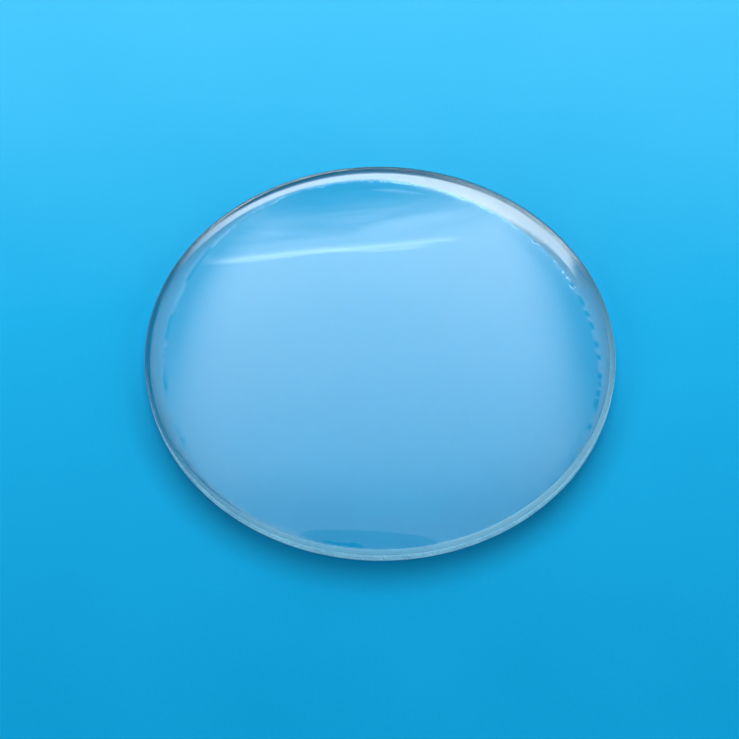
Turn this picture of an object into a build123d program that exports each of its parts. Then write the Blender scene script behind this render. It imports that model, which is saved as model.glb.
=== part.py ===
from build123d import *
import math
import os

# A laboratory watch glass: one shallow, even-thickness cap of clear glass, lying crown up on its rim.
# Millimetres, +Z up. The origin is the centre of the ring that the glass stands on, at the rest plane.

os.makedirs("parts", exist_ok=True)

# Driving dimensions
rim_diameter = 75.0      # nominal size of the glass
edge_height = 2.0        # straight ground edge, from the rest plane up to the top bevel
bevel_width = 0.85       # ground bevel round the top of the edge, along the radius
bevel_rise = 0.30        # the same bevel, upwards
crown_rise = 5.6         # polished upper face, from the bevel's inner line up to its crown
foot_width = 3.1         # flat ground ring that the glass stands on, along the radius
arris = 0.2              # small bevel that takes the sharpness off the lower outer corner


def height_on_sphere(sphere_radius, centre_z, radius):
    """Height of a sphere on the Z axis, at this distance from the axis."""
    return centre_z + math.sqrt(sphere_radius**2 - radius**2)


def meridian_arc(sphere_radius, centre_z, inner_radius, outer_radius):
    """The sphere's meridian between two distances from the axis, drawn from the inner one outwards."""
    middle_radius = (inner_radius + outer_radius) / 2
    points = [
        (radius, height_on_sphere(sphere_radius, centre_z, radius))
        for radius in (inner_radius, middle_radius, outer_radius)
    ]
    return ThreePointArc(*points)


# The upper sphere passes through the bevel's inner line and rises to the crown.
rim_radius = rim_diameter / 2
bevel_radius = rim_radius - bevel_width
bevel_z = edge_height + bevel_rise
upper_sphere = (bevel_radius**2 + crown_rise**2) / (2 * crown_rise)
centre_z = bevel_z + crown_rise - upper_sphere

# The lower sphere has the same centre, so the glass is equally thick all over, and meets the foot ring's inner line.
foot_radius = rim_radius - foot_width
lower_sphere = math.hypot(foot_radius, centre_z)


def watch_glass():
    """Half of the cross-section, turned once round the Z axis."""
    crown_top = centre_z + upper_sphere
    crown_underside = centre_z + lower_sphere
    upper_face = meridian_arc(upper_sphere, centre_z, 0, bevel_radius)
    lower_face = meridian_arc(lower_sphere, centre_z, 0, foot_radius)
    ground_edge = Polyline(
        (bevel_radius, bevel_z),
        (rim_radius, edge_height),
        (rim_radius, arris),
        (rim_radius - arris, 0),
        (foot_radius, 0),
    )
    axis_side = Line((0, crown_underside), (0, crown_top))
    section = make_face([*upper_face.edges(), *ground_edge.edges(), *lower_face.edges(), *axis_side.edges()])
    return revolve(Plane.XZ * section, axis=Axis.Z, revolution_arc=360)


glass = watch_glass()
glass.label = "watch_glass"
export_step(glass, "parts/watch_glass.step")

print(f"glass thickness {upper_sphere - lower_sphere:.2f} mm")
print(f"overall height {centre_z + upper_sphere:.2f} mm")
print(f"depth of the hollow under the crown {centre_z + lower_sphere:.2f} mm")
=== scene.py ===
import math

import bpy
import numpy as np
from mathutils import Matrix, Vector


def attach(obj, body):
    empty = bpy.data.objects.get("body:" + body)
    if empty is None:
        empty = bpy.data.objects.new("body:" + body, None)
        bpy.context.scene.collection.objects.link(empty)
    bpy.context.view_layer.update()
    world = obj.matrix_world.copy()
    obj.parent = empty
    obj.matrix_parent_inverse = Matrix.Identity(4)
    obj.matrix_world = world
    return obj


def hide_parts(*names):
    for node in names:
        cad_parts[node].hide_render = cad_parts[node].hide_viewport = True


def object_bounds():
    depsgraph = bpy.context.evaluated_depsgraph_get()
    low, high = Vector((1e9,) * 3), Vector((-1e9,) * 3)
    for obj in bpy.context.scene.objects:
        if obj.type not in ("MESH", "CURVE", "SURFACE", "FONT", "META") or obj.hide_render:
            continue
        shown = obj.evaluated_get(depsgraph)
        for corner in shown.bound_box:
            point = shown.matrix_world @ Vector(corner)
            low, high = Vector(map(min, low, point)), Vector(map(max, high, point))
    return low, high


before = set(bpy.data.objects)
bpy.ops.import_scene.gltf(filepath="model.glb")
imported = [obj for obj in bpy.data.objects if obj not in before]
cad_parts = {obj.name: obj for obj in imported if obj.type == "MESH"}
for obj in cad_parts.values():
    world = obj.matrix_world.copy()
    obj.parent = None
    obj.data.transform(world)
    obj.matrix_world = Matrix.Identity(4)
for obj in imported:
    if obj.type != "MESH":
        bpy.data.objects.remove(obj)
cad_low, cad_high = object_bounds()

MM = 0.001
TURN = 2 * math.pi

# ---------------------------------------------------------------- shape of the glass, in millimetres
# The frame gives the outer sizes. The rest repeat the driving dimensions of the CAD section.
rim_radius = (cad_high.x - cad_low.x) / 2 / MM
crown_height = cad_high.z / MM
edge_height = 2.0
bevel_width = 0.85
bevel_rise = 0.30
foot_width = 3.1
arris = 0.2

bevel_radius = rim_radius - bevel_width
bevel_z = edge_height + bevel_rise
crown_rise = crown_height - bevel_z
upper_sphere = (bevel_radius**2 + crown_rise**2) / (2 * crown_rise)
centre_z = crown_height - upper_sphere
foot_radius = rim_radius - foot_width
lower_sphere = math.hypot(foot_radius, centre_z)

SEGMENTS = 720
around = np.arange(SEGMENTS) * TURN / SEGMENTS


def wave(order, peak_deg):
    """A cosine round the rim that peaks at this angle, counted from +X towards +Y."""
    return np.cos(order * (around - math.radians(peak_deg)))


def ripple(seed, lowest, highest, falloff):
    """Seeded unevenness round the rim: harmonics from lowest to highest, scaled to peak at 1."""
    draw = np.random.default_rng(seed)
    total = np.zeros(SEGMENTS)
    for order in range(lowest, highest + 1):
        total += draw.normal() * order**-falloff * np.cos(order * around + draw.uniform(0, TURN))
    return total / np.abs(total).max()


def upper_height(radius):
    return centre_z + np.sqrt(upper_sphere**2 - radius**2)


def lower_height(radius):
    return centre_z + np.sqrt(lower_sphere**2 - radius**2)


def waves(terms):
    """The sum of waves, each given as (size, order, where it peaks in degrees)."""
    return sum(size * wave(order, peak_deg) for size, order, peak_deg in terms)


# Hand grinding leaves the flat foot and the top bevel uneven, and the foot's inner line chipped on one side.
FOOT_SHIFT = 0.31
FOOT_WAVES = [(0.85, 1, 266), (0.51, 2, 124), (0.38, 3, 105)]
FOOT_CHIPS = 0.08
FOOT_WANDER = 0.03
BEVEL_MEAN = 0.82
BEVEL_WAVES = [(0.38, 1, 32), (0.19, 2, 61), (0.16, 3, 47), (0.10, 4, 56)]
BEVEL_UNEVEN = 0.03
BEVEL_DROP = 0.16

coarse_side = (0.5 + 0.5 * wave(1, 45)) ** 2
foot_curve = foot_radius + FOOT_SHIFT + waves(FOOT_WAVES)
chips = FOOT_CHIPS * ripple(3, 40, 170, 0.2) * (0.15 + coarse_side)
foot_line = foot_curve + chips + FOOT_WANDER * ripple(4, 9, 30, 0.6)
bevel_line = rim_radius - BEVEL_MEAN - waves(BEVEL_WAVES) + BEVEL_UNEVEN * ripple(5, 6, 60, 0.6)
bevel_end = edge_height - BEVEL_DROP - BEVEL_UNEVEN * (1 + ripple(6, 8, 120, 0.5))

# The crown's polish rolls off towards the bevel, from ROLL_START outwards.
ROLL_START = 34.1
ROLL = 0.048


def outer_height(radius):
    past = np.maximum(radius - ROLL_START, 0)
    return upper_height(radius) - 0.5 * ROLL * past**2


# The hollow is raised or lowered to meet the floor on the uneven foot line, and is a little twisted.
LIFT_REACH = 0.85
foot_lift = -lower_height(foot_curve)
hollow_twist = 0.05 * wave(2, 125)


def hollow_height(radius):
    reach = radius / foot_curve
    spread = np.minimum(reach / LIFT_REACH, 1.0)
    lift = foot_lift * spread**2 * (3 - 2 * spread)
    return lower_height(radius) + lift + 4 * hollow_twist * reach**2 * (1 - reach**2)


# ---------------------------------------------------------------- mesh
POLE = 0
POLISHED, BEVEL, WALL, FOOT = 0, 1, 2, 3
CORNER = 0.05            # step that takes the sharpness off a corner
BEVEL_LIP = (0.03, 0.012)  # the first step of the bevel, outwards and down
HOLE = 0.6               # radius of the innermost ring of the hollow
CLEARANCE = 0.004        # least height of the hollow above the floor


def lathe(name, rings):
    """A closed body from rings of (radius, height, material); radius and height can vary round the ring.
    The first and last rings are POLE, a point on the axis. The material is for the band up to the ring."""
    points = []
    faces = []
    finish = []
    starts = []
    for radius, height, _ in rings:
        starts.append(len(points))
        if radius is POLE:
            points.append((0.0, 0.0, float(height)))
            continue
        radius = np.broadcast_to(radius, SEGMENTS)
        height = np.broadcast_to(height, SEGMENTS)
        points.extend(zip(radius * np.cos(around), radius * np.sin(around), height))
    for index in range(1, len(rings)):
        back, here = starts[index - 1], starts[index]
        for k in range(SEGMENTS):
            after = (k + 1) % SEGMENTS
            if rings[index - 1][0] is POLE:
                faces.append((back, here + k, here + after))
            elif rings[index][0] is POLE:
                faces.append((back + after, back + k, here))
            else:
                faces.append((back + k, here + k, here + after, back + after))
            finish.append(rings[index][2])
    mesh = bpy.data.meshes.new(name)
    mesh.from_pydata([(x * MM, y * MM, z * MM) for x, y, z in points], [], faces)
    mesh.polygons.foreach_set("material_index", finish)
    mesh.polygons.foreach_set("use_smooth", [True] * len(faces))
    mesh.update()
    piece = bpy.data.objects.new(name, mesh)
    bpy.context.scene.collection.objects.link(piece)
    return piece


def glass_rings():
    """The section, from the crown over the bevel, down the wall, in under the foot and up the hollow."""
    rings = [(POLE, crown_height, POLISHED)]
    for radius in np.linspace(0, ROLL_START, 40)[1:]:
        rings.append((radius, upper_height(radius), POLISHED))
    for share in (0.25, 0.5, 0.75, 0.97):
        radius = ROLL_START + (bevel_line - ROLL_START) * share
        rings.append((radius, outer_height(radius), POLISHED))
    bevel_start = outer_height(bevel_line)
    rings.append((bevel_line + BEVEL_LIP[0], bevel_start - BEVEL_LIP[1], BEVEL))
    for share in (0.33, 0.67, 0.96):
        radius = bevel_line + (rim_radius - bevel_line) * share
        rings.append((radius, bevel_start + (bevel_end - bevel_start) * share, BEVEL))
    rings.append((rim_radius, bevel_end - CORNER, WALL))
    for height in (1.4, 1.0, 0.5, arris + 0.03):
        rings.append((rim_radius, height, WALL))
    rings.append((rim_radius - CORNER, arris - 0.06, WALL))
    rings.append((rim_radius - arris + CORNER, 0.04, WALL))
    foot_start = rim_radius - arris - CORNER
    for share in (0.0, 0.35, 0.7, 1.0):
        radius = foot_start + (foot_line - foot_start) * share
        rings.append((radius, 0.0, FOOT))
    for share in np.linspace(1, 0, 46)[:-1]:
        radius = HOLE + (foot_line - 0.03 - HOLE) * share
        rings.append((radius, np.maximum(hollow_height(radius), CLEARANCE), POLISHED))
    rings.append((POLE, centre_z + lower_sphere, POLISHED))
    return rings


# ---------------------------------------------------------------- node helpers
def add_node(tree, kind, inputs, **settings):
    """A new node: inputs maps a socket's name or number to a value or to another node's output."""
    node = tree.nodes.new(kind)
    for name, value in settings.items():
        setattr(node, name, value)
    for socket, value in inputs.items():
        if isinstance(value, bpy.types.NodeSocket):
            tree.links.new(value, node.inputs[socket])
        else:
            node.inputs[socket].default_value = value
    return node


def maths(tree, operation, a, b=0.0):
    return add_node(tree, "ShaderNodeMath", {0: a, 1: b}, operation=operation).outputs[0]


def product(tree, first, *others):
    for other in others:
        first = maths(tree, "MULTIPLY", first, other)
    return first


def ease(tree, value, low, high, at_low=0.0, at_high=1.0):
    """Goes smoothly from at_low to at_high as value goes from low to high."""
    inputs = {0: value, 1: low, 2: high, 3: at_low, 4: at_high}
    return add_node(tree, "ShaderNodeMapRange", inputs, interpolation_type="SMOOTHSTEP").outputs[0]


def plus(tree, a, b):
    return maths(tree, "ADD", a, b)


def vary(tree, base, texture, amount):
    """The base plus a texture's departure from 0.5, times amount."""
    return plus(tree, base, product(tree, maths(tree, "SUBTRACT", texture, 0.5), amount))


def noise(tree, where, scale, detail=2.0, distortion=0.0):
    inputs = {"Vector": where, "Scale": scale, "Detail": detail, "Distortion": distortion}
    return add_node(tree, "ShaderNodeTexNoise", inputs).outputs["Fac"]


def ramp(tree, value, stops):
    """A colour ramp from (position, colour) pairs."""
    node = add_node(tree, "ShaderNodeValToRGB", {0: value})
    marks = node.color_ramp.elements
    while len(marks) > 1:
        marks.remove(marks[-1])
    for index, (position, colour) in enumerate(stops):
        mark = marks[0] if index == 0 else marks.new(position)
        mark.position = position
        mark.color = (*colour, 1)
    return node.outputs["Color"]


def vector(tree, operation, a, b=(0, 0, 0)):
    """A vector, or a number where the operation is a length or a dot product."""
    node = add_node(tree, "ShaderNodeVectorMath", {0: a, 1: b}, operation=operation)
    return node.outputs["Value" if operation in ("LENGTH", "DOT_PRODUCT") else "Vector"]


def scaled(tree, colour, amount):
    return add_node(tree, "ShaderNodeVectorMath", {0: colour, "Scale": amount}, operation="SCALE").outputs[0]


def seen_from_above(tree, where):
    return vector(tree, "MULTIPLY", where, (1, 1, 0))


def toward(tree, where, angle_deg):
    """Cosine of the angle, seen from above, between a point's bearing and this one."""
    unit = vector(tree, "NORMALIZE", seen_from_above(tree, where))
    angle = math.radians(angle_deg)
    return vector(tree, "DOT_PRODUCT", unit, (math.cos(angle), math.sin(angle), 0))


def new_material(name):
    """A material with its tree, its shader, and object coordinates in millimetres."""
    material = bpy.data.materials.new(name)
    material.use_nodes = True
    tree = material.node_tree
    object_place = add_node(tree, "ShaderNodeTexCoord", {}).outputs["Object"]
    where = vector(tree, "MULTIPLY", object_place, (1 / MM, 1 / MM, 1 / MM))
    return material, tree, tree.nodes["Principled BSDF"], where


def set_bump(tree, shader, height, distance, strength=1.0):
    inputs = {"Height": height, "Strength": strength, "Distance": distance * MM}
    bump = add_node(tree, "ShaderNodeBump", inputs)
    tree.links.new(bump.outputs["Normal"], shader.inputs["Normal"])


# ---------------------------------------------------------------- glass
GLASS_IOR = 1.52


def polished_glass():
    """Clear polished glass: faint waviness, a few wiped smears and fine specks of dust."""
    material, tree, shader, where = new_material("polished_glass")
    shader.inputs["Base Color"].default_value = (0.985, 1.0, 1.0, 1)
    shader.inputs["Transmission Weight"].default_value = 1.0
    shader.inputs["IOR"].default_value = GLASS_IOR
    shader.inputs["Specular IOR Level"].default_value = 0.35
    wiped = vector(tree, "MULTIPLY", where, (0.05, 0.22, 0.1))
    smear = ease(tree, noise(tree, wiped, 1.0, 4.0, 1.2), 0.50, 0.72, 0.0, 0.012)
    speck = ease(tree, noise(tree, where, 2.2, 1.0), 0.80, 0.84, 0.0, 0.15)
    tree.links.new(plus(tree, smear, speck), shader.inputs["Roughness"])
    streaks = product(tree, noise(tree, wiped, 2.0, 2.0), 0.05)
    waviness = plus(tree, noise(tree, where, 0.10, 1.0), streaks)
    set_bump(tree, shader, waviness, 0.015)
    return material


def bevel_glass():
    """The top bevel: fine grinding rings, clear almost all round and less so towards the front right, where
    its painted light blue makes that side lighter.
    """
    material, tree, shader, where = new_material("bevel_glass")
    # Painted light: the diffuse colour is the paper's light blue, and its share grows towards the front
    # right to paint that side lighter.
    shader.inputs["Base Color"].default_value = (0.42, 0.84, 1.0, 1)
    shader.inputs["IOR"].default_value = GLASS_IOR
    grain = noise(tree, where, 9.0, 3.0)
    clear = ease(tree, toward(tree, where, -60), -0.2, 0.8, 0.94, 0.68)
    tree.links.new(vary(tree, clear, grain, 0.25), shader.inputs["Transmission Weight"])
    tree.links.new(ease(tree, grain, 0.3, 0.7, 0.05, 0.14), shader.inputs["Roughness"])
    groove_pitch = 0.28
    radius = vector(tree, "LENGTH", seen_from_above(tree, where))
    grooves = maths(tree, "SINE", product(tree, radius, TURN / groove_pitch))
    set_bump(tree, shader, plus(tree, product(tree, grooves, 0.35), grain), 0.006)
    return material


def wall_glass():
    """The rim's vertical wall: ground and mostly diffuse, with its diffuse colour painted pale blue so that
    it looks light.
    """
    material, tree, shader, where = new_material("wall_glass")
    shader.inputs["IOR"].default_value = GLASS_IOR
    grain = noise(tree, where, 7.0, 4.0)
    cloud = noise(tree, where, 0.35, 2.0)
    # Painted light: the diffuse colour is the blue paper's light painted into the wall, varied by cloud and
    # grain.
    painted_paper_blue = plus(tree, product(tree, cloud, 0.6), product(tree, grain, 0.4))
    painted_paper_blue = ramp(tree, painted_paper_blue, [(0.30, (0.32, 0.72, 0.96)), (0.70, (0.47, 0.85, 1.0))])
    tree.links.new(painted_paper_blue, shader.inputs["Base Color"])
    tree.links.new(ease(tree, cloud, 0.3, 0.7, 0.36, 0.24), shader.inputs["Transmission Weight"])
    tree.links.new(ease(tree, grain, 0.3, 0.7, 0.2, 0.35), shader.inputs["Roughness"])
    set_bump(tree, shader, grain, 0.01)
    return material


def foot_glass():
    """The flat foot: clear ground glass, with frost towards the back right that is partly real frost and
    partly a painted glow of the low light from behind.
    """
    material, tree, shader, where = new_material("foot_glass")
    shader.inputs["Base Color"].default_value = (0.90, 0.99, 1.0, 1)
    shader.inputs["IOR"].default_value = GLASS_IOR
    shader.inputs["Specular IOR Level"].default_value = 0.0
    grain = noise(tree, where, 6.0, 4.0)
    patch = noise(tree, where, 0.5, 3.0)
    # Partly painted glow: the frost's white grows towards the back right, where the low light from behind
    # shines through the foot.
    toward_back_right = vary(tree, toward(tree, where, 62), patch, 0.10)
    stops = [(0.1, 0.0), (0.2, 0.05), (0.53, 0.08), (0.8, 0.14), (0.9, 0.22), (0.97, 0.34), (1.0, 0.38)]
    frost = ramp(tree, toward_back_right, [(position, (level,) * 3) for position, level in stops])
    frosted_end = ease(tree, vary(tree, toward(tree, where, 110), patch, 0.10), -0.06, 0.06)
    speckle = ease(tree, grain, 0.25, 0.55, 0.75, 1.0)
    frost = product(tree, frost, frosted_end, speckle)
    tree.links.new(maths(tree, "SUBTRACT", 1.0, frost), shader.inputs["Transmission Weight"])
    tree.links.new(ease(tree, grain, 0.3, 0.7, 0.03, 0.12), shader.inputs["Roughness"])
    set_bump(tree, shader, grain, 0.004)
    return material


glass = lathe("watch_glass_body", glass_rings())
for finish in (polished_glass, bevel_glass, wall_glass, foot_glass):
    glass.data.materials.append(finish())
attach(glass, "root")
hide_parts("watch_glass")

# ---------------------------------------------------------------- floor
FLOOR_SIZE = 6.0         # metres
FLOOR_DROP = 0.00002     # metres, so that the floor and the foot don't share a plane
# The rest of the floor's measures are in millimetres.
# The paper's blues from front to back; the paleness towards the back is painted light falloff.
PAINTED_FALLOFF_BLUES = [(0.0, (0.002, 0.29, 0.57)), (0.45, (0.011, 0.405, 0.75)), (1.0, (0.07, 0.56, 0.93))]
SHADOW_DEPTH = 0.42
SHADOW_CENTRE = -1.5
SHADOW_FADE = (42.5, 36.5)


def painted_shadow(tree, where):
    """A shadow in front of the rim, painted on the paper, as the soft light alone hardly casts one."""
    from_centre = vector(tree, "ADD", where, (0, -SHADOW_CENTRE, 0))
    reach = vector(tree, "LENGTH", seen_from_above(tree, from_centre))
    outside = ease(tree, reach, 34.0, rim_radius)
    in_front = ease(tree, toward(tree, where, -90), -0.1, 1.0)
    shadow = product(tree, ease(tree, reach, *SHADOW_FADE), product(tree, outside, in_front), SHADOW_DEPTH)
    return maths(tree, "SUBTRACT", 1.0, shadow)


def blue_paper():
    """Plain light blue paper with a fine grain, painted paler towards the back as a painted light falloff.
    """
    material, tree, shader, where = new_material("blue_paper")
    depth = add_node(tree, "ShaderNodeSeparateXYZ", {0: where}).outputs["Y"]
    grain = noise(tree, where, 1.8, 2.0)
    # Painted light falloff: the paper is painted paler towards the back, as if lit more strongly there.
    tone = ease(tree, depth, -85, 115)
    tone = vary(tree, tone, noise(tree, where, 0.035, 4.0), 0.16)
    tone = vary(tree, tone, grain, 0.10)
    blue = scaled(tree, ramp(tree, tone, PAINTED_FALLOFF_BLUES), painted_shadow(tree, where))
    tree.links.new(blue, shader.inputs["Base Color"])
    set_bump(tree, shader, grain, 0.02, 0.15)
    shader.inputs["Roughness"].default_value = 0.6
    shader.inputs["Specular IOR Level"].default_value = 0.03
    return material


bpy.ops.mesh.primitive_plane_add(size=FLOOR_SIZE, location=(0, 0, -FLOOR_DROP))
floor = bpy.context.object
floor.name = "floor"
floor.data.materials.append(blue_paper())

# ---------------------------------------------------------------- light
# The sky is the only light: one soft canopy and four low panels, shaped for their reflections in the glass.
# CANOPY is (place, brightness) along a ceiling one unit up, from the front to the back.
CANOPY = [
    (-2.6, 0.55), (0.0, 0.62), (0.2, 1.10), (0.53, 1.50), (1.0, 1.80), (1.3, 1.80), (1.6, 1.25), (1.9, 0.70),
    (2.2, 0.30), (2.6, 0.06),
]
CANOPY_REACH = 2.6
CANOPY_BRIGHTEST = 1.8
CANOPY_POWER = 1.43
CANOPY_HALF_WIDTH = 0.755
CANOPY_SIDE_SHARPNESS = 12
CANOPY_FRONT = -0.08     # in front of this place only FRONT_LEFT of the light is left
FRONT_LEFT = 0.06
NOTCH_PLACE = -0.05      # the dim part reaches furthest back here, and less on both sides by NOTCH_BOW
NOTCH_BOW = 2.4
CANOPY_BORDER = 1.3      # where a line twice as bright crosses it
BORDER_WIDTH = 0.10
BORDER_END = (0.42, 0.26)
FOLDS_START = (1.35, 1.7)
FOLDS_DEPTH = 2.2
BACK_GLOW = 6.0
BACK_BEARING = 18
BACK_RISE = 0.28
SIDE_GLOW = 3.2
FRONT_GLOW = 3.2
TINT = (0.91, 1.0, 1.02)


def straightened(tree, across, along):
    """The place along the canopy, corrected so that what crosses it bows a little."""
    side = plus(tree, across, 0.1)
    bow = plus(tree, product(tree, side, side, 0.58), product(tree, side, 0.13))
    pull = maths(tree, "SUBTRACT", 1.0, maths(tree, "DIVIDE", bow, CANOPY_BORDER))
    return product(tree, along, maths(tree, "MAXIMUM", pull, 0.25))


def canopy_width(tree, across):
    """1 under the canopy, falling off past its half width."""
    edge = product(tree, maths(tree, "ABSOLUTE", across), 1 / CANOPY_HALF_WIDTH)
    edge = maths(tree, "POWER", edge, CANOPY_SIDE_SHARPNESS)
    return maths(tree, "DIVIDE", 1.0, plus(tree, edge, 1.0))


def canopy_front(tree, across, place):
    """The canopy's front edge, notched in the middle, which leaves a dark crescent at the near rim."""
    off_notch = plus(tree, across, -NOTCH_PLACE)
    notched = plus(tree, place, product(tree, off_notch, off_notch, NOTCH_BOW))
    return ease(tree, notched, CANOPY_FRONT - 0.003, CANOPY_FRONT + 0.003, FRONT_LEFT, 1.0)


def canopy_border(tree, across, place):
    """1, and 2 on a thin line that ends on the right."""
    line = ease(tree, place, CANOPY_BORDER - 0.004, CANOPY_BORDER + 0.004)
    line = product(tree, line, ease(tree, place, CANOPY_BORDER + BORDER_WIDTH, CANOPY_BORDER))
    return plus(tree, product(tree, line, ease(tree, across, *BORDER_END)), 1.0)


def canopy_folds(tree, across, place):
    """Cloudy streaks beyond the border."""
    streaks = {0: product(tree, across, 1.6), 1: product(tree, place, 5.0)}
    drape = add_node(tree, "ShaderNodeCombineXYZ", streaks).outputs[0]
    folds = maths(tree, "SUBTRACT", noise(tree, drape, 1.0, 3.0, 0.6), 0.5)
    folds = product(tree, folds, ease(tree, place, *FOLDS_START), FOLDS_DEPTH)
    return maths(tree, "MAXIMUM", plus(tree, folds, 1.0), 0.1)


def canopy(tree, x, y, z):
    above = maths(tree, "MAXIMUM", z, 0.02)
    across = maths(tree, "DIVIDE", x, above)
    place = straightened(tree, across, maths(tree, "DIVIDE", y, above))
    share = plus(tree, maths(tree, "DIVIDE", place, 2 * CANOPY_REACH), 0.5)
    levels = [(at / (2 * CANOPY_REACH) + 0.5, (level / CANOPY_BRIGHTEST,) * 3) for at, level in CANOPY]
    light = canopy_width(tree, across)
    for shape in (canopy_front, canopy_border, canopy_folds):
        light = product(tree, light, shape(tree, across, place))
    light = product(tree, light, CANOPY_BRIGHTEST * CANOPY_POWER)
    return scaled(tree, ramp(tree, share, levels), light)


def low_panels(tree, where, x, y, z):
    """A panel behind that rises to the right, one on each side, and a fill in front for the rim's wall."""
    flat = maths(tree, "SQRT", maths(tree, "SUBTRACT", 1.0, product(tree, z, z)))
    sideways = maths(tree, "DIVIDE", x, flat)
    facing = toward(tree, where, 90 - BACK_BEARING)
    top = product(tree, maths(tree, "MAXIMUM", sideways, 0.0), BACK_RISE)
    back = ease(tree, maths(tree, "SUBTRACT", z, top), 0.325, 0.295)
    back = product(tree, back, ease(tree, facing, 0.55, 0.85), ease(tree, sideways, 0.56, 0.50))
    back = product(tree, back, ease(tree, z, 0.15, 0.22), BACK_GLOW)
    sides = ease(tree, maths(tree, "ABSOLUTE", sideways), 0.87, 0.95)
    sides = product(tree, sides, ease(tree, z, 0.60, 0.50), ease(tree, z, 0.10, 0.22), SIDE_GLOW)
    front = ease(tree, maths(tree, "DIVIDE", y, flat), -0.2, -0.6)
    front = product(tree, front, ease(tree, z, 0.36, 0.22), FRONT_GLOW)
    return plus(tree, plus(tree, back, sides), front)


def studio():
    world = bpy.data.worlds.new("studio")
    world.use_nodes = True
    tree = world.node_tree
    where = add_node(tree, "ShaderNodeTexCoord", {}).outputs["Generated"]
    parts = add_node(tree, "ShaderNodeSeparateXYZ", {0: where}).outputs
    x, y, z = parts["X"], parts["Y"], parts["Z"]
    low = low_panels(tree, where, x, y, z)
    light = vector(tree, "ADD", canopy(tree, x, y, z), low)
    background = tree.nodes["Background"]
    tree.links.new(vector(tree, "MULTIPLY", light, TINT), background.inputs["Color"])
    background.inputs["Strength"].default_value = 1.0
    return world


bpy.context.scene.world = studio()

# ---------------------------------------------------------------- camera
VIEW_ELEVATION = math.radians(56.279)
VIEW_DISTANCE = 0.270
LENS = 82.42
SENSOR_WIDTH = 36
VIEW_TARGET = Vector((-0.001708, -0.003266, 0.0))
away = Vector((0, -math.cos(VIEW_ELEVATION), math.sin(VIEW_ELEVATION)))
camera = bpy.data.objects.new("camera", bpy.data.cameras.new("camera"))
camera.data.sensor_width = SENSOR_WIDTH
camera.data.lens = LENS
camera.location = VIEW_TARGET + away * VIEW_DISTANCE
camera.rotation_mode = "QUATERNION"
camera.rotation_quaternion = away.to_track_quat("Z", "Y")
camera.data.clip_start = 0.01
bpy.context.scene.collection.objects.link(camera)
bpy.context.scene.camera = camera
bpy.context.scene.view_settings.view_transform = "Standard"
bpy.context.scene.cycles.blur_glossy = 0.0
